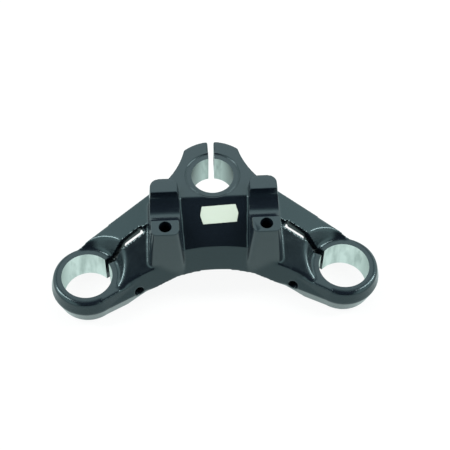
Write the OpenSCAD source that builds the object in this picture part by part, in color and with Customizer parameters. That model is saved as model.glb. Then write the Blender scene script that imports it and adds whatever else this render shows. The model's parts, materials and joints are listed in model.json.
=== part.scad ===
// Upper fork yoke of a motorcycle, one aluminium casting with two handlebar
// risers and a split clamp for each of the three tubes. Millimetres, +Z up,
// +X to the right, +Y to the rear. The origin is on the stem bore's axis, at
// the underside of the head.

/* [Stem clamp] */
// Diameter of the steering stem bore
stem_bore_d = 29; // [24:0.5:32]
// Height of the head, and length of the stem bore
head_h = 24; // [20:1:30]
// Radius of the head's rear edge around the stem bore
head_r = 29.3; // [26:0.1:34]
// Width of the slot behind the stem bore
head_slot_w = 4; // [2:0.5:6]
// Diameter of the machined ring round the stem bore
stem_face_d = 37.6; // [34:0.2:46]

/* [Fork clamps] */
// Distance between the two fork bores
fork_span = 178; // [160:1:200]
// Distance of the fork bores in front of the stem bore
fork_offset = 52.5; // [45:0.5:60]
// Diameter of the fork bores
fork_bore_d = 35; // [31:0.5:38]
// Height of the fork clamps
clamp_h = 24.5; // [20:0.5:30]
// Height of the head's top face above the fork clamps' top face
rise = 40; // [34:1:46]
// Outer radius of a fork clamp
clamp_r = 25.2; // [23:0.2:28]
// Rounding of a fork clamp's upper edge
clamp_round = 3.2; // [1:0.2:5]
// Width of the slot in a fork clamp
clamp_slot_w = 4; // [2:0.5:5]
// Angle of the clamp slots from the line between the fork bores
clamp_slot_a = 29.2; // [20:0.2:40]
// Length of a clamp slot from the fork bore's axis
clamp_slot_l = 47; // [42:0.5:50]
// Depth of the pinch screw's axis below the clamp's top face
pinch_d = 9.5; // [8:0.5:14]

/* [Arms] */
// Distance of the front wall from the stem bore's axis
front_y = 52.9; // [48:0.1:60]
// Depth of the mould's parting line below the fork clamps' top face
parting_d = 10.5; // [6:0.5:16]
// Angle of the arms' front wall, seen from above
front_a = 27.5; // [20:0.5:34]
// Angle of the arms' rear edge, seen from above
rear_a = 30; // [24:0.5:36]
// Distance of the arms' rear edge from the fork bores' axes
rear_gap = 22.2; // [18:0.2:24]
// Fall of the rear rib's top face, in mm per mm outwards
rib_fall = 0.385; // [0.2:0.005:0.5]
// Step from the rear rib down to the web, at the clamp slot
web_step = 2.5; // [0:0.5:5]
// Fall of the web in front of the clamp slot, in mm per mm forwards
web_fall = 0.42; // [0.2:0.01:0.6]
// Thickness of the arms' top skin
skin_t = 4.5; // [3:0.5:8]
// Thickness of the arms' walls
wall_t = 6; // [4:0.5:9]

/* [Risers] */
// Distance between the middles of the two risers
riser_span = 67.4; // [60:0.2:76]
// Height of the risers' top faces above the head
riser_h = 8; // [6:0.5:14]
// Width of a riser at its top
riser_w = 18.8; // [16:0.2:24]
// Diameter of the handlebar
bar_d = 22; // [20:0.2:26]
// Distance of the handlebar's axis in front of the stem bore
bar_y = 30; // [26:0.2:34]
// Draft angle of the risers' sides
riser_draft = 4.5; // [0:0.5:7]
// Tapping diameter of the bar clamp screws' holes
riser_tap_d = 8.5; // [5:0.1:9]
// Depth of the bar clamp screws' holes
riser_tap_depth = 20; // [12:1:24]

/* [Fastenings] */
// Tapping diameter of the pinch screws' holes
pinch_tap_d = 6.8; // [5:0.1:8.5]
// Clearance diameter of the pinch screws' holes
pinch_clear_d = 8.4; // [6:0.1:10]
// Diameter of the pinch screw heads' seats
pinch_seat_d = 14; // [11:0.5:16]

/* [Stock label] */
// Length of the label
label_l = 26; // [16:1:34]
// Height of the label
label_h = 12; // [8:1:16]
// Thickness of the label
label_t = 0.2; // [0.1:0.05:0.5]

/* [Hidden] */
$fn = 48;
eps = 0.01;
far = 200;

// Heights, from the head's underside at 0
top_z = head_h;
ring_z = top_z - rise;
low_z = ring_z - clamp_h;
part_z = ring_z - parting_d;

fork_x = fork_span / 2;
fork_at = [fork_x, -fork_offset];
slot_dir = [-cos(clamp_slot_a), sin(clamp_slot_a)];

// Riser footprint at the top, front and rear ends of its two lugs
riser_x = riser_span / 2;
riser_z = top_z + riser_h;
lug_l = 11.9;
lug_front = -bar_y - bar_d / 2 - lug_l;
lug_rear = -bar_y + bar_d / 2 + lug_l;
lug_round = 4;
rear_round = 6;
riser_pad_z = -2;

// Slope between the risers, which rolls over from the head's top face
slope_a = 34;
slope_roll = 3;
slope_corner_y = -18.5;
slope_y = slope_corner_y + slope_roll * tan(slope_a / 2);
slope_in = riser_x - riser_w / 2;
slope_sink = 0.02;
slope_end = [slope_y - (slope_roll - slope_sink) * sin(slope_a),
    top_z - slope_roll + (slope_roll - slope_sink) * cos(slope_a)];

// Both sides, from the right one
module both() {
    children();
    mirror([1, 0, 0]) children();
}

// All that lies above the plane through p with the slopes gx and gy
module above(p, gx, gy) {
    translate(p)
        rotate([0, acos(1 / norm([gx, gy, 1])), atan2(-gy, -gx)])
            translate([-far, -far, 0]) cube([2 * far, 2 * far, far]);
}

// All that lies in front of a wall which leans back above its foot line
module ahead(p, a, lean) {
    translate(p)
        rotate([0, 0, -a]) rotate([-lean, 0, 0])
            translate([-far, -far, -far]) cube([2 * far, far, 2 * far]);
}

// Point where the arm's front wall runs into the clamp's round wall
front_sink = 0.25;
front_n = [sin(front_a), cos(front_a)];
front_touch = fork_at - (clamp_r - front_sink) * front_n;
crown_r = 183;
crown_lean = 12;
arm_lean = 21;
foot_lean = 16;

// Corner between the front wall's crown and its straight arms, cut by a haunch
crown_c = [0, -front_y - crown_r];
arm_t = (front_touch - crown_c) * front_n;
arm_s = (front_touch - crown_c) * [-cos(front_a), sin(front_a)];
corner = front_touch - (arm_s - sqrt(crown_r * crown_r - arm_t * arm_t))
    * [-cos(front_a), sin(front_a)];
haunch_a = (front_a + asin(corner.x / crown_r)) / 2;
haunch_at = corner + 0.7 * [sin(haunch_a), cos(haunch_a)];

// Space in front of the arched front wall, above and below the parting line
module front_space() {
    crown_y = -front_y - crown_r;
    h = top_z - part_z + 1;
    d = part_z - low_z + 1;
    intersection() {
        translate([0, crown_y, part_z])
            cylinder(h = h, r1 = crown_r, r2 = crown_r + h * tan(crown_lean), $fn = 96);
        front_faces(1);
    }
    intersection() {
        translate([0, crown_y, part_z - d])
            cylinder(h = d, r1 = crown_r + d * tan(foot_lean), r2 = crown_r, $fn = 96);
        front_faces(-1);
    }
}

module front_faces(way) {
    lean_arm = way > 0 ? arm_lean : -foot_lean;
    lean_haunch = way > 0 ? (arm_lean + crown_lean) / 2 : -foot_lean;
    intersection() {
        arm_face(lean_arm);
        mirror([1, 0, 0]) arm_face(lean_arm);
        ahead([haunch_at.x, haunch_at.y, part_z], haunch_a, lean_haunch);
        mirror([1, 0, 0])
            ahead([haunch_at.x, haunch_at.y, part_z], haunch_a, lean_haunch);
    }
}

module arm_face(lean) {
    ahead([front_touch.x, front_touch.y, part_z], front_a, lean);
}

// Outline of the arms from above, right half, up to the space in front
rear_n = [sin(rear_a), cos(rear_a)];
rear_foot = fork_at + rear_gap * rear_n;
head_join_x = 20;
head_join_y = rear_foot.y + (rear_foot.x - head_join_x) * tan(rear_a);

module arm_outline(inset = 0) {
    polygon([
        [-eps, head_join_y - inset],
        [head_join_x, head_join_y - inset / cos(rear_a)],
        rear_foot - inset * rear_n,
        fork_at,
        front_touch - front_sink / 2 * front_n,
        [-eps, front_touch.y - front_sink]
    ]);
}

// Space behind the arm's rear wall, which is drafted below the parting line
rear_lean = 7;
module rear_space() {
    translate([rear_foot.x, rear_foot.y, part_z - 0.4])
        rotate([0, 0, -rear_a]) rotate([-rear_lean, 0, 0])
            translate([-fork_x, 0, low_z - part_z - 1])
                cube([2 * fork_x, far, part_z - low_z + 4]);
}

// Inner end of a clamp slot, on its middle line
slot_off = 2.7;
slot_at = fork_at + clamp_slot_l * slot_dir
    + slot_off * [slot_dir.y, -slot_dir.x];

// Height of the rear rib's top face, which falls outwards
rib_end = [fork_x - 5.5, ring_z + 7];
function rib_z(x) = rib_end.y + rib_fall * (rib_end.x - x);

// Space over the rear rib, lowered by drop
module rib_space(drop = 0) {
    above([rib_end.x, 0, rib_end.y - drop], -rib_fall, 0);
}

// Space over the web, which falls forwards from the line of the clamp slot
module web_space(drop = 0) {
    above([slot_at.x, slot_at.y, rib_z(slot_at.x) - web_step - drop],
        web_fall * tan(clamp_slot_a) - rib_fall, web_fall);
}

// Everything in front of the clamp slot's middle line
module ahead_of_slot() {
    translate([slot_at.x, slot_at.y, -far]) rotate(-clamp_slot_a)
        translate([-far, -far, 0]) cube([2 * far, far, 2 * far]);
}

// Everything above the top faces of the arms and of the slope
module top_space() {
    both() intersection() {
        union() {
            rib_space();
            intersection() {
                web_space();
                ahead_of_slot();
            }
        }
        linear_extrude(3 * far, center = true)
            polygon([
                [slope_in + 2, -far], [slope_in + 2, slope_y], [head_join_x, slope_y],
                [head_join_x, far], [far, far], [far, -far]
            ]);
    }
    slope_space();
}

// Space over the slope between the risers
module slope_space() {
    intersection() {
        rotate([90, 0, 90])
            linear_extrude(2 * far, center = true)
                difference() {
                    polygon([
                        [slope_y, top_z - slope_roll],
                        [slope_y, far],
                        [-far, far],
                        [-far, slope_end.y - (far + slope_end.x) * tan(slope_a)],
                        slope_end
                    ]);
                    translate([slope_y, top_z - slope_roll]) circle(slope_roll);
                }
        rotate([90, 0, 0])
            linear_extrude(2 * far, center = true)
                polygon([
                    [-slope_in, far], [-slope_in, riser_z],
                    [-slope_in + 40 * tan(riser_draft), riser_z - 40],
                    [slope_in - 40 * tan(riser_draft), riser_z - 40],
                    [slope_in, riser_z], [slope_in, far]
                ]);
    }
}

// Arms, front wall and skin, hollow from below
belly_r = 95;
belly_z = ring_z - 1.6;
jaw_l = 33.5;
module arms() {
    difference() {
        union() {
            difference() {
                translate([0, 0, low_z]) linear_extrude(top_z - low_z) {
                    arm_outline();
                    mirror([1, 0]) arm_outline();
                }
                front_space();
                top_space();
                both() rear_space();
                both() cove();
            }
            both() riser();
            both() shoulder();
        }
        belly();
        hollow();
    }
}

// Shoulder where the front wall runs up to the clamp's top face
shoulder_l = 36;
module shoulder() {
    inward = [-cos(front_a), sin(front_a)];
    edge = fork_at - (clamp_r - front_sink / 2) * front_n;
    difference() {
        translate([0, 0, part_z + 0.5]) linear_extrude(parting_d - 0.5)
            polygon([
                fork_at, edge, edge + shoulder_l * inward,
                fork_at + shoulder_l * inward - 12 * front_n
            ]);
        ahead([front_touch.x, front_touch.y, part_z], front_a + 4, boss_lean - 3);
    }
}

// Arch of the underside between the fork clamps
module belly() {
    translate([0, 0, belly_z - belly_r])
        rotate([90, 0, 0]) cylinder(h = 2 * far, r = belly_r, center = true, $fn = 96);
    // The rear wall rises from the clamps to the head's underside
    translate([0, -24, 0]) rotate([90, 0, 180])
        linear_extrude(far) both_ways()
            polygon([[0, 0], [24, 0], [46, -8], [62, -20], [71, low_z], [71, -far], [0, -far]]);
}

module both_ways() {
    children();
    mirror([1, 0]) children();
}

// Underside, hollow between the walls, the jaws and the stem boss
module hollow() {
    both() arm_hollow();
    difference() {
        translate([-pad_in, -front_y, low_z])
            cube([2 * pad_in, front_y - slope_in / 2, rise]);
        inner_faces();
        above([0, slope_corner_y, top_z - skin_t / cos(slope_a)], 0, tan(slope_a));
        cylinder(h = far, r = stem_face_d / 2 + 3);
    }
}

pad_in = slope_in - 3;
module arm_hollow() {
    difference() {
        translate([0, 0, low_z - 1]) linear_extrude(rise + clamp_h)
            intersection() {
                arm_outline(wall_t);
                translate(fork_at) rotate(180 - clamp_slot_a)
                    translate([jaw_l, -far]) square([far, 2 * far]);
                translate([pad_in - eps, -far]) square(2 * far);
            }
        inner_faces();
        rib_space(skin_t);
        web_space(skin_t);
        translate([0, -far, riser_pad_z]) cube([riser_x + riser_w / 2 + 3, 2 * far, far]);
    }
}

// Space in front of the front wall's inner face
module inner_faces() {
    translate([0, wall_t / cos(front_a), 0]) intersection() {
        arm_face(arm_lean);
        mirror([1, 0, 0]) arm_face(arm_lean);
        ahead([0, -front_y, part_z], 0, crown_lean);
    }
}

// Head, with its flanks flared into the arms
flank_r = 60;
flank_a = [18.9, sqrt(head_r * head_r - 18.9 * 18.9)];
flank_b = [31.2, -2];
flank_mid = (flank_a + flank_b) / 2;
flank_half = norm(flank_b - flank_a) / 2;
flank_n = [flank_a.y - flank_b.y, flank_b.x - flank_a.x] / (2 * flank_half);
flank_at = flank_mid + sqrt(flank_r * flank_r - flank_half * flank_half) * flank_n;

module head_outline() {
    difference() {
        union() {
            circle(head_r, $fn = 72);
            translate([-flank_b.x, slope_y]) square([2 * flank_b.x, flank_b.y + 3 - slope_y]);
        }
        translate(flank_at) circle(flank_r, $fn = 96);
        translate([-flank_at.x, flank_at.y]) circle(flank_r, $fn = 96);
    }
}

module head() {
    difference() {
        linear_extrude(head_h) head_outline();
        slope_space();
    }
}

// Riser, wider at its foot, with an upright front that runs down to the arch
module riser() {
    foot_z = low_z + 14;
    hull() {
        riser_corners(riser_z - 1, 0);
        riser_corners(foot_z, (riser_z - foot_z) * tan(riser_draft));
    }
}

module riser_corners(z, spread) {
    side = riser_w / 2 + spread;
    for (sx = [-1, 1]) {
        translate([riser_x + sx * (side - lug_round), lug_front + lug_round, z])
            cylinder(h = 1, r = lug_round, $fn = 24);
        translate([riser_x + sx * (side - rear_round), lug_rear - rear_round + spread / 2, z])
            cylinder(h = 1, r = rear_round, $fn = 24);
    }
}

// Fork clamp, drafted from the parting line and rounded at its upper edge
boss_lean = 12;
module fork_clamp() {
    foot_r = clamp_r - (part_z - low_z) * tan(foot_lean);
    top_r = clamp_r - (parting_d - clamp_round) * tan(boss_lean);
    flat_r = top_r - clamp_round;
    translate(fork_at)
        rotate_extrude() {
            difference() {
                polygon([
                    [0, low_z], [foot_r, low_z], [clamp_r, part_z],
                    [top_r, ring_z - clamp_round], [flat_r, ring_z - clamp_round],
                    [flat_r, ring_z], [0, ring_z]
                ]);
            }
            intersection() {
                translate([flat_r, ring_z - clamp_round]) circle(clamp_round);
                translate([flat_r, ring_z - clamp_round]) square(clamp_round);
            }
        }
}

// Clearance cut round the top of a fork clamp
cove_r = 22.5;
cove_h = 20;
module cove() {
    translate([fork_at.x, fork_at.y, ring_z])
        cylinder(h = cove_h, r1 = cove_r, r2 = cove_r + cove_h * tan(30));
}

// Slot of a fork clamp, and its pinch screw
pinch_l = 26.9;
pinch_z = ring_z - pinch_d;
module clamp_slot() {
    translate([slot_at.x, slot_at.y, low_z - 1]) rotate(-clamp_slot_a)
        translate([0, -clamp_slot_w / 2])
            cube([clamp_slot_l - fork_bore_d / 2 + 6, clamp_slot_w, rise + clamp_h]);
}

module pinch_holes() {
    // Local X runs along the screw, from the slot to the front wall
    translate([fork_at.x, fork_at.y, pinch_z])
        rotate(180 - clamp_slot_a)
            translate([pinch_l, -slot_off, 0]) {
                rotate([-90, 0, 0]) cylinder(h = 60, d = pinch_tap_d);
                rotate([90, 0, 0]) cylinder(h = 60, d = pinch_clear_d);
                rotate([90, 0, 0]) translate([0, 0, 14]) cylinder(h = 60, d = pinch_seat_d);
            }
}

module stem_clamp_cuts() {
    translate([0, 0, -1]) cylinder(h = head_h + 2, d = stem_bore_d);
    translate([0, 0, top_z - 0.5]) cylinder(h = 1, d = stem_face_d);
    translate([-head_slot_w / 2, 0, -1]) cube([head_slot_w, head_r + 2, head_h + 2]);
    translate([0, stem_bore_d / 2 + 6.5, head_h / 2]) rotate([0, 90, 0]) {
        cylinder(h = 40, d = pinch_tap_d);
        rotate([180, 0, 0]) cylinder(h = 40, d = pinch_clear_d);
        rotate([180, 0, 0]) translate([0, 0, 14]) cylinder(h = 30, d = pinch_seat_d);
    }
}

module riser_cuts() {
    tap_y = lug_front + lug_l / 2 + 0.6;
    translate([riser_x, -bar_y, riser_z]) rotate([0, 90, 0])
        cylinder(h = riser_w + 16, d = bar_d, center = true);
    translate([riser_x, tap_y, riser_z - riser_tap_depth])
        cylinder(h = riser_tap_depth + 1, d = riser_tap_d);
    translate([riser_x, tap_y, riser_z - 1])
        cylinder(h = 1 + eps, r1 = riser_tap_d / 2, r2 = riser_tap_d / 2 + 1);
}

module yoke_casting() {
    color("darkslategray")
        difference() {
            union() {
                arms();
                head();
                both() fork_clamp();
            }
            both() {
                translate([fork_at.x, fork_at.y, low_z - 1])
                    cylinder(h = clamp_h + 2, d = fork_bore_d);
                clamp_slot();
                pinch_holes();
                riser_cuts();
            }
            stem_clamp_cuts();
        }
}

module stock_label() {
    color("beige")
        translate([3.3, slope_end.x, slope_end.y]) rotate([slope_a, 0, 0])
            translate([0, -10.8, 0]) rotate(2.5)
                linear_extrude(label_t)
                    polygon([
                        [-label_l / 2, 0], [-label_l / 2 + 1.5, label_h / 2],
                        [label_l / 2 - 1.5, label_h / 2], [label_l / 2, 0],
                        [label_l / 2 - 1.5, -label_h / 2], [-label_l / 2 + 1.5, -label_h / 2]
                    ]);
}

yoke_casting();
stock_label();
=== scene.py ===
# Upper fork yoke of a motorcycle: one aluminium casting, sprayed satin black, with bare
# bores and a paper stock label.
# Metres, +X right, +Y rear, +Z up, origin on the stem bore's axis at the head's underside.
import json
import math

import bpy
from mathutils import Matrix, Vector

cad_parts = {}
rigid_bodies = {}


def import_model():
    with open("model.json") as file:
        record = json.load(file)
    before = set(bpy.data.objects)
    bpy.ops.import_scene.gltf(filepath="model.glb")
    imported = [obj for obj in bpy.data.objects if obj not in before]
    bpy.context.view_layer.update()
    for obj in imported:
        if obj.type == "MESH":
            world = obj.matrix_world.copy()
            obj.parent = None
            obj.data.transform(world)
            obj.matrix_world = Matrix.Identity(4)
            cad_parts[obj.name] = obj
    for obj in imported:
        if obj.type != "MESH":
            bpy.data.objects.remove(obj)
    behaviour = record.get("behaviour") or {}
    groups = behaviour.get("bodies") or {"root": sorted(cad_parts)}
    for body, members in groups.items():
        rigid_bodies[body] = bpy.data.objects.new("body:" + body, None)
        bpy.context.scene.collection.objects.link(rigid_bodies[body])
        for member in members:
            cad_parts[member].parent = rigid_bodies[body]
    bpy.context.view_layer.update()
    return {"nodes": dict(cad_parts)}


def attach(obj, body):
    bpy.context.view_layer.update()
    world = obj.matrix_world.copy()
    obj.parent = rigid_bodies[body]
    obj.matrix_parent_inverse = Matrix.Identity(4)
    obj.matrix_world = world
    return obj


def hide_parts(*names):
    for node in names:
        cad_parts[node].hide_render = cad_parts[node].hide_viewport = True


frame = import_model()
MM = 0.001
WAVE = math.pi / 10  # Scale of a wave pattern that repeats once per unit

# Sizes of the casting, in mm, as in the part's source
STEM_BORE_R = 14.5
STEM_FACE_R = 18.8  # Spot face round the stem bore
HEAD_TOP = 24.0
HEAD_SLOT = 4.0  # Width of the slot at the head's rear
HEAD_SLOT_FROM, HEAD_SLOT_TO = 6.0, 40.0  # Its tool's ends, along Y
FORK_X, FORK_Y = 89.0, -52.5  # Axis of a fork clamp
FORK_BORE_R = 17.5
RING_Z = -16.0  # Top of the fork clamps
LOW_Z = -40.5  # Their underside, which is the part's lowest
SLOT_A = 29.2  # Way of a clamp slot, in degrees from X
SLOT_L = 47.0  # Its end, from the bore's axis
SLOT_OFF = 2.7  # Its middle line, beside the bore's axis
SLOT_W = 4.0
RISER_TOP = 32.0
BAR_Y, BAR_R = -30.0, 11.0  # The handlebar that the saddles hold
SCREW_X, SCREW_Y, SCREW_R = 33.7, -46.35, 4.25  # Blind hole in a riser's front lug
SCREW_FLOOR = 12.0
PINCH_Z, PINCH_R = -25.5, 3.55  # Hole for a clamp's pinch screw
PINCH_L = 26.9  # Where it crosses the slot, from the bore's axis

# Plugs for the cut places, in mm: how far each reaches into the wall round it
PLUG_GROW, FORK_PLUG_GROW = 1.0, 1.2
FACE_PLUG = 4.0  # The spot face's plug, from the head's top down

# The lips on the skin's underside beside a clamp slot, in mm: along the slot, off its
# middle line, and from a line that falls towards the bore by LIP_PITCH degrees
LIP_START = 31.0
LIP_NEAR, LIP_FAR = 0.5, 5.0
LIP_Z, LIP_PITCH = -14.2, 18.6
FRONT_LIP = (-7.5, -3.5)
REAR_LIP = (-5.4, 0.0)

# Rounding of the skin: it is remade in even cells, smoothed by so many passes in each of
# three places, and thinned to a share of its faces. Places are in mm.
CELL = 0.65
PASSES = {"cast_edges": 7, "coves": 30, "riser_feet": 60}
FACES_KEPT = 0.36
# Past SLOT_FROM_X nothing is smoothed within SLOT_KEPT of a clamp slot's middle line, and
# all of the skin is from SLOT_FADE further out
SLOT_KEPT, SLOT_FADE, SLOT_FROM_X = 2.4, 1.5, 46.0
# A cove lies between two radii round the fork's axis, past a line on its inner side
COVE_NEAR, COVE_FAR = 21.0, 38.0
COVE_BACK, COVE_IN, COVE_PAST = 0.66, 0.75, 8.0
COVE_FROM_X, COVE_FROM_Z = 47.0, RING_Z - 1
# A riser's foot is a band across the front wall, along a line that falls inwards. Off
# that line it is full within 0.6 of FOOT_TALL, and ends at 1.6 of it.
FOOT_Y = -47.0
FOOT_X, FOOT_HALF, FOOT_FADE = 33.0, 11.5, 5.0
FOOT_Z, FOOT_FALL, FOOT_OUT = -8.0, 0.38, 43.0
FOOT_TALL, FOOT_END = 6.0, 1.6

# Tools that cut the machined places again, in mm
RUN_OUT = 2.0  # How far a tool runs past the surface
FACE_DEEP = 0.5  # The spot face, below the head's top, with a 45 degree edge
FACE_FOOT_R, FACE_MOUTH_R = STEM_FACE_R - 0.2, STEM_FACE_R + 0.8
GROOVE_R, GROOVE_Z = STEM_FACE_R - 0.6, HEAD_TOP + 0.35  # At the spot face's foot
GROOVE_NOSE = 2.0  # The thickness of the round nose that turns it
SADDLE_GROW = 0.35  # The saddle's radius, over the bar's
SADDLE_FROM, SADDLE_TO = 14.0, 54.0  # Its tool's ends, along X
LUG_FACED = 0.25  # The lug's top, below the riser's
LUG_HALF = 14.0  # Half the width of its tool
LUG_FRONT, LUG_REAR_Y = 20.0, -36.0  # That tool's ends: from the screw, and along Y
CHAMFER_DEEP, CHAMFER_TALL = 0.4, 1.0  # At the blind hole's rim, at 45 degrees
SLOT_GROW = 0.1  # Each wall of a clamp slot, off the solid's
SLOT_START, SLOT_TOP = 10.0, 30.0  # Its tool's start, inside the bore, and its top
PINCH_TOOL = 60.0  # Length of the pinch screw's drill
FINE, ROUND, SMALL, COARSE = 128, 96, 48, 32  # Sides of a round tool or plug

# Camera, from the photograph's fit: degrees, then mm
CAMERA_TURN, CAMERA_CLIMB, CAMERA_ROLL = -4.35, 56.29, 1.35
CAMERA_AT = (-28.91, -504.79, 720.27)
CAMERA_LENS, CAMERA_SENSOR = 100.0, 36.0

# Studio: the floor's gap below the part, in mm, and the whites; the one that the paint
# and the bores mirror is a pale blue-green
FLOOR_GAP = 0.2
ROOM_WHITE = (0.82, 1.0, 0.98, 1)
PLAIN_WHITE = (1, 1, 1, 1)
# A softbox's name, its place, width and length in metres, and its power in watts
SOFTBOXES = (
    ("rear_softbox", (0.0, 0.9, 0.9), 1.0, 1.0, 4.0),
    ("left_softbox", (-0.72, 0.05, 0.69), 0.16, 0.8, 7.5),
    ("right_softbox", (0.72, 0.05, 0.69), 0.16, 0.8, 7.5),
)


# Selecting and modelling, as by hand
def only(*things):
    """Selects these things alone; the first is the active one."""
    if bpy.context.object and bpy.context.object.mode != "OBJECT":
        bpy.ops.object.mode_set(mode="OBJECT")
    bpy.ops.object.select_all(action="DESELECT")
    for thing in things:
        thing.select_set(True)
    bpy.context.view_layer.objects.active = things[0]


def apply(piece, kind, **settings):
    """Puts a modifier on a piece and applies it."""
    only(piece)
    modifier = piece.modifiers.new(kind.lower(), kind)
    for name, value in settings.items():
        setattr(modifier, name, value)
    bpy.ops.object.modifier_apply(modifier=modifier.name)


def rod(radius, start, end, sides=ROUND, top_radius=None):
    """A rod between two points, in mm; a cone where it has a top radius."""
    a, b = Vector(start) * MM, Vector(end) * MM
    bpy.ops.object.select_all(action="DESELECT")
    bpy.ops.mesh.primitive_cone_add(
        vertices=sides, radius1=radius * MM,
        radius2=(radius if top_radius is None else top_radius) * MM,
        depth=(b - a).length, location=(a + b) / 2,
        rotation=(b - a).to_track_quat("Z", "Y").to_euler())
    bpy.ops.object.transform_apply(location=True, rotation=True, scale=True)
    return bpy.context.object


def bar(low, high, turn=0.0, at=(0, 0), height=0.0, pitch=0.0):
    """A box between two corners, in mm, pitched and turned, then moved to a point."""
    low, high = Vector(low) * MM, Vector(high) * MM
    bpy.ops.object.select_all(action="DESELECT")
    bpy.ops.mesh.primitive_cube_add(size=1, location=(low + high) / 2)
    box = bpy.context.object
    box.scale = high - low
    bpy.ops.object.transform_apply(location=True, rotation=True, scale=True)
    place = Matrix.Translation(Vector((at[0], at[1], height)) * MM)
    turned = place @ Matrix.Rotation(math.radians(turn), 4, "Z")
    box.data.transform(turned @ Matrix.Rotation(math.radians(-pitch), 4, "Y"))
    return box


def ring(radius, thickness, height):
    """A thin ring round the stem's axis, in mm."""
    bpy.ops.object.select_all(action="DESELECT")
    bpy.ops.mesh.primitive_torus_add(
        major_segments=FINE, minor_segments=16, major_radius=radius * MM,
        minor_radius=thickness / 2 * MM, location=(0, 0, height * MM))
    bpy.ops.object.transform_apply(location=True, rotation=True, scale=True)
    return bpy.context.object


def join(name, pieces):
    """Makes one piece of several."""
    only(*pieces)
    if len(pieces) > 1:
        bpy.ops.object.join()
    joined = bpy.context.object
    joined.name = joined.data.name = name
    return joined


def coat(piece, material):
    """Gives a piece one material in place of its own."""
    piece.data.materials.clear()
    piece.data.materials.append(material)


# Colours and materials
def colour(hex_text):
    """An sRGB hex colour as linear values."""
    parts = [int(hex_text[i:i + 2], 16) / 255 for i in (0, 2, 4)]
    return [c / 12.92 if c <= 0.04045 else ((c + 0.055) / 1.055) ** 2.4 for c in parts] + [1.0]


def node(tree, kind, links=None, **settings):
    """Adds a node, sets its sockets and properties, and links its inputs."""
    new = tree.nodes.new(kind)
    for name, value in settings.items():
        if hasattr(new, name):
            setattr(new, name, value)
        else:
            new.inputs[name.replace("_", " ")].default_value = value
    for name, source in (links or {}).items():
        tree.links.new(source, new.inputs[name])
    return new


def repeats(size):
    """A pattern's scale, from the real size of its repeat in mm."""
    return 1 / (size * MM)


def blank(name):
    """A material without nodes, and its tree."""
    material = bpy.data.materials.new(name)
    material.use_nodes = True
    material.node_tree.nodes.clear()
    return material, material.node_tree


def black_paint():
    # Satin black spray paint on a sand casting: dark, with a broad soft sheen, an orange
    # peel of about 1 mm and a slow swell of 6 mm from the casting's skin, so that its
    # faces look grey-blue where they mirror the room.
    material, tree = blank("satin_black_paint_on_cast_aluminium")
    place = node(tree, "ShaderNodeTexCoord").outputs["Object"]
    grain = node(tree, "ShaderNodeTexNoise", {"Vector": place}, Scale=repeats(1.1), Detail=3.0)
    swell = node(tree, "ShaderNodeTexNoise", {"Vector": place}, Scale=repeats(6.25), Detail=2.0)
    fine = node(tree, "ShaderNodeBump", {"Height": grain.outputs["Fac"]},
                Strength=0.25, Distance=0.06 * MM)
    bump = node(tree, "ShaderNodeBump",
                {"Height": swell.outputs["Fac"], "Normal": fine.outputs["Normal"]},
                Strength=0.25, Distance=0.2 * MM)
    patch = node(tree, "ShaderNodeMapRange", {"Value": swell.outputs["Fac"]},
                 From_Min=0.3, From_Max=0.7, To_Min=0.17, To_Max=0.22)
    paint = node(tree, "ShaderNodeBsdfPrincipled",
                 {"Roughness": patch.outputs["Result"], "Normal": bump.outputs["Normal"]},
                 Base_Color=colour("0e131a"))
    paint.inputs["Specular Tint"].default_value = (0.74, 1.0, 1.03, 1.0)
    node(tree, "ShaderNodeOutputMaterial", {"Surface": paint.outputs[0]})
    return material


def bare_bore(name, light, dark, shade_from):
    # Bored aluminium: pale, with rings from the boring bar and duller stains, about 6 mm
    # wide, that run down the wall. The real rings are 0.2 mm apart, too fine to show, and
    # are drawn 0.75 mm apart. The sides, past a given distance in metres from the middle in X,
    # are painted in the dark tone as painted shade.
    material, tree = blank(name)
    place = node(tree, "ShaderNodeTexCoord").outputs["Object"]
    rings = node(tree, "ShaderNodeTexWave", {"Vector": place}, bands_direction="Z",
                 Scale=repeats(0.75) * WAVE, Distortion=0.4)
    bump = node(tree, "ShaderNodeBump", {"Height": rings.outputs["Fac"]},
                Strength=0.12, Distance=0.05 * MM)
    drawn = node(tree, "ShaderNodeMapping", {"Vector": place},
                 Rotation=(0.0, 0.5, 0.4), Scale=(1.0, 1.0, 0.25))
    stain = node(tree, "ShaderNodeTexNoise", {"Vector": drawn.outputs["Vector"]},
                 Scale=repeats(5.9), Detail=3.0)
    share = node(tree, "ShaderNodeMapRange", {"Value": stain.outputs["Fac"]},
                 From_Min=0.42, From_Max=0.72, To_Min=0.0, To_Max=0.75)
    split = node(tree, "ShaderNodeSeparateXYZ", {"Vector": place})
    wide = node(tree, "ShaderNodeMath", {0: split.outputs["X"]}, operation="ABSOLUTE")
    # Painted shade: the dark tone comes in over the sides, away from the middle in X
    painted_shade = node(tree, "ShaderNodeMapRange", {"Value": wide.outputs[0]},
               From_Min=shade_from, From_Max=shade_from + 8 * MM)
    # The darker of the stain and the painted shade
    both = node(tree, "ShaderNodeMath", {0: share.outputs["Result"], 1: painted_shade.outputs["Result"]},
                operation="MAXIMUM")
    tone = node(tree, "ShaderNodeMix", {"Factor": both.outputs[0]}, data_type="RGBA")
    tone.inputs[6].default_value = colour(light)
    tone.inputs[7].default_value = colour(dark)
    metal = node(tree, "ShaderNodeBsdfPrincipled",
                 {"Base Color": tone.outputs[2], "Normal": bump.outputs["Normal"]},
                 Metallic=1.0, Roughness=0.38)
    node(tree, "ShaderNodeOutputMaterial", {"Surface": metal.outputs[0]})
    return material


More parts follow.
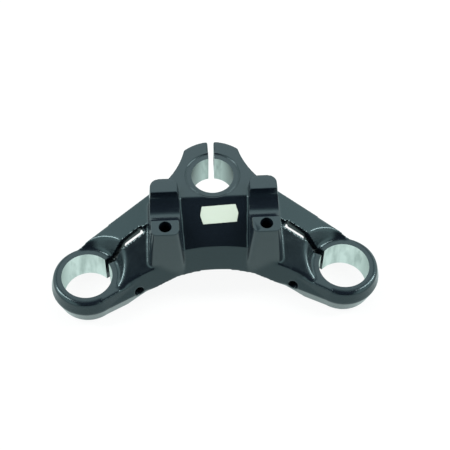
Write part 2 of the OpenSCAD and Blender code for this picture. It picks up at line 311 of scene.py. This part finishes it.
def label_paper():
    # Matt uncoated label paper: creamy, with faint fibres. Real ones are too fine to
    # show, and are drawn as specks of 0.55 mm.
    material, tree = blank("matt_label_paper")
    place = node(tree, "ShaderNodeTexCoord").outputs["Object"]
    fibre = node(tree, "ShaderNodeTexNoise", {"Vector": place}, Scale=repeats(0.55), Detail=4.0)
    tone = node(tree, "ShaderNodeMix", {"Factor": fibre.outputs["Fac"]}, data_type="RGBA")
    tone.inputs[6].default_value = colour("b2b8ab")
    tone.inputs[7].default_value = colour("bbc1b4")
    bump = node(tree, "ShaderNodeBump", {"Height": fibre.outputs["Fac"]},
                Strength=0.2, Distance=0.04 * MM)
    paper = node(tree, "ShaderNodeBsdfPrincipled",
                 {"Base Color": tone.outputs[2], "Normal": bump.outputs["Normal"]},
                 Roughness=0.85)
    node(tree, "ShaderNodeOutputMaterial", {"Surface": paper.outputs[0]})
    return material


PAINT = black_paint()
PAPER = label_paper()
# Fork bores: the bored aluminium, with painted shade on their outer sides, past 0.1 m out in X
BARE = bare_bore("bored_bare_aluminium", "e0e7e3", "9faba6", 0.1)
# Stem bore: a darker copy of the bored aluminium, its tones lowered as painted shade, and more
# painted shade over its sides from 6 mm out in X
STEM = bare_bore("bored_aluminium_painted_shade", "c2ccc8", "5c6664", 0.006)


# The casting: a copy of the solid with its cut places filled, whose edges are rounded as
# cast. The machined places are cut again afterwards, so that only those stay crisp.
def slot_line(side):
    """A clamp slot's start beside the bore's axis, its ways in and across, and its turn."""
    angle = math.radians(SLOT_A)
    inward = Vector((-side * math.cos(angle), math.sin(angle)))
    across = Vector((side * math.sin(angle), math.cos(angle)))
    start = Vector((side * FORK_X, FORK_Y)) + SLOT_OFF * across
    return start, inward, across, math.degrees(math.atan2(inward.y, inward.x))


def plugs():
    """What fills the cut places, a little larger than each, and the slots' lips."""
    made = [rod(STEM_BORE_R + PLUG_GROW, (0, 0, 0), (0, 0, HEAD_TOP)),
            rod(STEM_FACE_R + PLUG_GROW, (0, 0, HEAD_TOP - FACE_PLUG), (0, 0, HEAD_TOP))]
    for side in (-1, 1):
        fork, screw = (side * FORK_X, FORK_Y), (side * SCREW_X, SCREW_Y)
        made.append(rod(FORK_BORE_R + FORK_PLUG_GROW, (*fork, LOW_Z), (*fork, RING_Z)))
        made.append(rod(SCREW_R + PLUG_GROW, (*screw, SCREW_FLOOR + RUN_OUT),
                        (*screw, RISER_TOP), COARSE))
        start, _, _, turn = slot_line(side)
        # The slot's own Y points to the front on the right clamp and to the rear on the left
        for way, (low, high) in ((side, FRONT_LIP), (-side, REAR_LIP)):
            near, far = sorted((way * LIP_NEAR, way * LIP_FAR))
            made.append(bar((LIP_START, near, low), (SLOT_L, far, high),
                            turn, start, LIP_Z, LIP_PITCH))
    return made


def limit(value):
    """The value, held between 0 and 1."""
    return min(max(value, 0.0), 1.0)


def rounding(x, y, z, slot):
    """How much a point, in mm, is rounded as a cast edge, in a cove and at a riser's foot."""
    start, inward, _, _ = slot
    # Cast edges: all over, fading out beside a clamp slot
    from_slot = abs(inward.x * (y - start.y) - inward.y * (x - start.x))
    edge = limit((from_slot - SLOT_KEPT) / SLOT_FADE) if abs(x) > SLOT_FROM_X else 1.0
    # Coves: the hollows that run from the arm into the clamp
    out, back = abs(x) - FORK_X, y - FORK_Y
    in_cove = (z > COVE_FROM_Z and abs(x) > COVE_FROM_X
               and COVE_NEAR < math.hypot(out, back) < COVE_FAR
               and COVE_BACK * back - COVE_IN * out > COVE_PAST)
    cove = edge if in_cove else 0.0
    # Riser feet: where a riser runs into the front wall
    foot = 0.0
    if y < FOOT_Y:
        beside = limit((FOOT_HALF - abs(abs(x) - FOOT_X)) / FOOT_FADE)
        from_foot = abs(z - FOOT_Z + FOOT_FALL * (FOOT_OUT - abs(x)))
        foot = beside * limit(FOOT_END - from_foot / FOOT_TALL)
    return edge, cove, foot


def round_skin(piece):
    """Makes one even skin of the piece, rounds it and thins its faces."""
    apply(piece, "REMESH", mode="VOXEL", voxel_size=CELL * MM)
    groups = [piece.vertex_groups.new(name=name) for name in PASSES]
    slots = {side: slot_line(side) for side in (-1, 1)}
    for point in piece.data.vertices:
        x, y, z = point.co / MM
        shares = rounding(x, y, z, slots[1 if x > 0 else -1])
        for group, share in zip(groups, shares):
            if share > 0:
                group.add([point.index], share, "REPLACE")
    for name, passes in PASSES.items():
        apply(piece, "SMOOTH", factor=0.5, iterations=passes, vertex_group=name)
    apply(piece, "DECIMATE", ratio=FACES_KEPT)


def cutters():
    """The cutting tools, each group with its material; within a group none overlap."""
    stem = [rod(STEM_BORE_R, (0, 0, -RUN_OUT), (0, 0, HEAD_TOP + RUN_OUT), FINE)]
    bores = []
    faces = [rod(FACE_FOOT_R, (0, 0, HEAD_TOP - FACE_DEEP), (0, 0, HEAD_TOP + FACE_DEEP),
                 FINE, FACE_MOUTH_R)]
    tops = [ring(GROOVE_R, GROOVE_NOSE, GROOVE_Z)]
    slots = [bar((-HEAD_SLOT / 2, HEAD_SLOT_FROM, -RUN_OUT),
                 (HEAD_SLOT / 2, HEAD_SLOT_TO, HEAD_TOP + RUN_OUT))]
    rims = []
    for side in (-1, 1):
        fork, screw = (side * FORK_X, FORK_Y), (side * SCREW_X, SCREW_Y)
        bores.append(rod(FORK_BORE_R, (*fork, LOW_Z - RUN_OUT), (*fork, RING_Z + RUN_OUT), FINE))
        # The saddle, and the lug's top with its hole and the hole's chamfer
        faces.append(rod(BAR_R + SADDLE_GROW, (side * SADDLE_FROM, BAR_Y, RISER_TOP),
                         (side * SADDLE_TO, BAR_Y, RISER_TOP)))
        slots.append(rod(SCREW_R, (*screw, SCREW_FLOOR), (*screw, RISER_TOP + RUN_OUT), SMALL))
        tops.append(bar((side * SCREW_X - LUG_HALF, SCREW_Y - LUG_FRONT, RISER_TOP - LUG_FACED),
                        (side * SCREW_X + LUG_HALF, LUG_REAR_Y, RISER_TOP + RUN_OUT)))
        rim_z = RISER_TOP - CHAMFER_DEEP
        rims.append(rod(SCREW_R, (*screw, rim_z), (*screw, rim_z + CHAMFER_TALL),
                        SMALL, SCREW_R + CHAMFER_TALL))
        # The clamp slot, and the hole for its pinch screw through the front wall
        start, inward, across, turn = slot_line(side)
        half = SLOT_W / 2 + SLOT_GROW
        slots.append(bar((SLOT_START, -half, LOW_Z - RUN_OUT), (SLOT_L, half, SLOT_TOP),
                         turn, start))
        inner = start + PINCH_L * inward
        outer = inner - PINCH_TOOL * across
        faces.append(rod(PINCH_R, (*outer, PINCH_Z), (*inner, PINCH_Z), SMALL))
    return ((STEM, stem), (BARE, bores), (PAINT, faces), (PAINT, tops), (PAINT, slots),
            (PAINT, rims))


only(frame["nodes"]["yoke_casting"])
bpy.ops.object.duplicate()
casting = bpy.context.object
bpy.ops.object.parent_clear(type="CLEAR_KEEP_TRANSFORM")
bpy.ops.object.mode_set(mode="EDIT")
bpy.ops.mesh.select_all(action="SELECT")
bpy.ops.mesh.remove_doubles(threshold=0.002 * MM)
bpy.ops.object.mode_set(mode="OBJECT")
casting = join("casting", [casting] + plugs())
round_skin(casting)
coat(casting, PAINT)
for material, tools in cutters():
    cutter = join("cutter", tools)
    coat(cutter, material)
    apply(casting, "BOOLEAN", operation="DIFFERENCE", solver="EXACT", object=cutter,
          material_mode="TRANSFER")
    bpy.data.objects.remove(cutter)
only(casting)
bpy.ops.object.shade_smooth_by_angle(angle=math.radians(32))
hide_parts("yoke_casting")
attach(casting, "root")

# The stock label keeps the solid's shape, in paper
coat(frame["nodes"]["stock_label"], PAPER)


# Camera, at the photograph's place and angle
def look():
    turn, climb, roll = (math.radians(a) for a in (CAMERA_TURN, CAMERA_CLIMB, CAMERA_ROLL))
    ahead = Vector((-math.sin(turn) * math.cos(climb), math.cos(turn) * math.cos(climb),
                    -math.sin(climb)))
    right = ahead.cross(Vector((0, 0, 1))).normalized()
    up = right.cross(ahead)
    across = math.cos(roll) * right + math.sin(roll) * up
    upright = -math.sin(roll) * right + math.cos(roll) * up
    lens = bpy.data.cameras.new("camera")
    lens.lens = CAMERA_LENS
    lens.sensor_width = CAMERA_SENSOR
    lens.clip_start = 0.01
    lens.clip_end = 20.0
    eye = bpy.data.objects.new("camera", lens)
    bpy.context.collection.objects.link(eye)
    aim = Matrix((across, upright, -ahead)).transposed().to_4x4()
    eye.matrix_world = Matrix.Translation(Vector(CAMERA_AT) * MM) @ aim
    bpy.context.scene.camera = eye


# Studio: a white floor, a room that is bright behind and at the sides and dark in front,
# a large softbox at the rear and a long narrow one on each side
def seen_white(tree, shader, share):
    """Shows white to the camera and the room's white in reflections."""
    path = node(tree, "ShaderNodeLightPath")
    seen = path.outputs["Is Camera Ray"]
    for name in ("Is Glossy Ray", "Is Transmission Ray"):
        most = node(tree, "ShaderNodeMath", {0: seen, 1: path.outputs[name]}, operation="MAXIMUM")
        seen = most.outputs[0]
    part = node(tree, "ShaderNodeMath", {0: seen}, operation="MULTIPLY")
    part.inputs[1].default_value = share
    tone = node(tree, "ShaderNodeMix", {"Factor": path.outputs["Is Camera Ray"]},
                data_type="RGBA")
    tone.inputs[6].default_value = ROOM_WHITE
    tone.inputs[7].default_value = PLAIN_WHITE
    white = node(tree, "ShaderNodeEmission", {"Color": tone.outputs[2]}, Strength=1.0)
    return node(tree, "ShaderNodeMixShader",
                {0: part.outputs[0], 1: shader.outputs[0], 2: white.outputs[0]})


def lay_floor():
    bpy.ops.object.select_all(action="DESELECT")
    bpy.ops.mesh.primitive_plane_add(size=8, location=(0, 0, (LOW_Z - FLOOR_GAP) * MM))
    floor = bpy.context.object
    floor.name = "floor"
    # Pale matt floor, of which the camera sees just the object's soft shadow
    material, tree = blank("pale_floor")
    plain = node(tree, "ShaderNodeBsdfDiffuse", Color=(0.8, 0.8, 0.8, 1))
    mix = seen_white(tree, plain, 0.9)
    node(tree, "ShaderNodeOutputMaterial", {"Surface": mix.outputs[0]})
    floor.data.materials.append(material)


def light_room():
    world = bpy.data.worlds.new("studio")
    bpy.context.scene.world = world
    world.use_nodes = True
    tree = world.node_tree
    tree.nodes.clear()
    # What the paint mirrors: bright from the rear and the sides, nearly dark from the front
    way = node(tree, "ShaderNodeTexCoord").outputs["Generated"]
    split = node(tree, "ShaderNodeSeparateXYZ", {"Vector": way})
    wide = node(tree, "ShaderNodeMath", {0: split.outputs["X"]}, operation="ABSOLUTE")
    rear = node(tree, "ShaderNodeMapRange", {"Value": split.outputs["Y"]},
                interpolation_type="SMOOTHSTEP",
                From_Min=0.0, From_Max=0.4, To_Min=0.05, To_Max=1.0)
    sides = node(tree, "ShaderNodeMapRange", {"Value": wide.outputs[0]},
                 interpolation_type="SMOOTHSTEP",
                 From_Min=0.3, From_Max=0.6, To_Min=0.0, To_Max=1.9)
    both = node(tree, "ShaderNodeMath", {0: rear.outputs["Result"], 1: sides.outputs["Result"]},
                operation="MAXIMUM")
    room = node(tree, "ShaderNodeBackground", {"Strength": both.outputs[0]}, Color=ROOM_WHITE)
    # The camera itself sees plain white
    camera = node(tree, "ShaderNodeLightPath").outputs["Is Camera Ray"]
    white = node(tree, "ShaderNodeBackground", Color=PLAIN_WHITE, Strength=1.0)
    mix = node(tree, "ShaderNodeMixShader",
               {0: camera, 1: room.outputs[0], 2: white.outputs[0]})
    node(tree, "ShaderNodeOutputWorld", {"Surface": mix.outputs[0]})


def hang_softboxes():
    for name, at, wide, long, power in SOFTBOXES:
        light = bpy.data.lights.new(name, "AREA")
        light.shape = "RECTANGLE"
        light.size = wide
        light.size_y = long
        light.energy = power
        lamp = bpy.data.objects.new(name, light)
        bpy.context.collection.objects.link(lamp)
        lamp.location = at
        lamp.rotation_euler = (-Vector(at)).to_track_quat("-Z", "Y").to_euler()


look()
lay_floor()
light_room()
hang_softboxes()
bpy.context.scene.view_settings.view_transform = "Standard"
